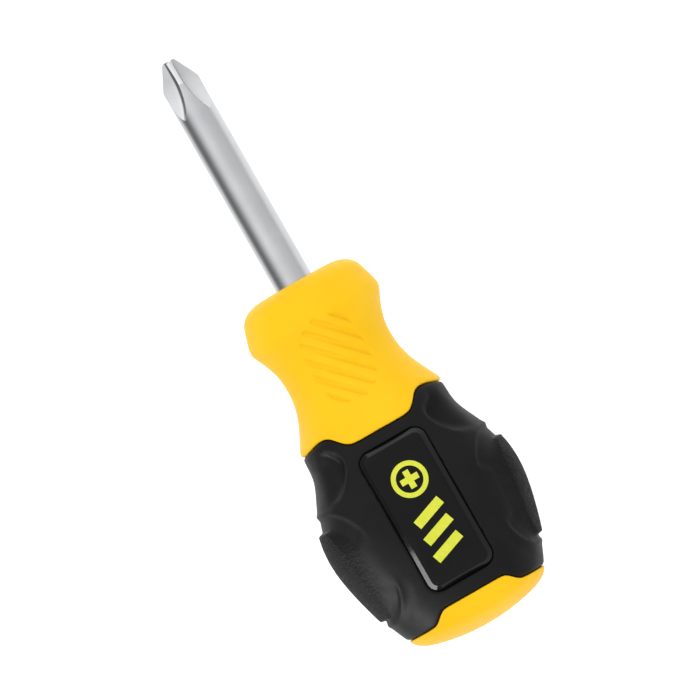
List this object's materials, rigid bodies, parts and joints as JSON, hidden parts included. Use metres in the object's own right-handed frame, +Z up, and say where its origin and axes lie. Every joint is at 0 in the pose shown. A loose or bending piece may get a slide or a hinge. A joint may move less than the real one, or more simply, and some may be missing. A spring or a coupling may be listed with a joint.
{
  "type": "stubby screwdriver",
  "caption": "Stubby cross-point screwdriver with a round chromed blade, flared neck and fat two-material grip with side pads and badge plates, lying on its back.",
  "frame": {"origin": "on the surface the tool lies on, below the centre of its bounding box", "axes": "+X along the tool from the point to the butt, +Y across the grip, +Z up out of the front badge; the tool's own axis falls toward the point by the angle at which it rests"},
  "size_m": [0.0962, 0.0324, 0.0292],
  "materials": {
    "plated_steel": "satin chrome plate",
    "core_plastic": "as moulded",
    "yellow_plastic": "satin",
    "black_rubber": "matte, stippled pads",
    "badge_plastic": "gloss",
    "print_ink": "printed"
  },
  "bodies": {
    "root": {"blade": "plated_steel", "tang_core": "core_plastic", "handle_body": "yellow_plastic", "grip_sleeve": "black_rubber", "front_badge": "badge_plastic", "back_badge": "badge_plastic", "front_print": "print_ink", "back_print": "print_ink"}
  },
  "joints": []
}
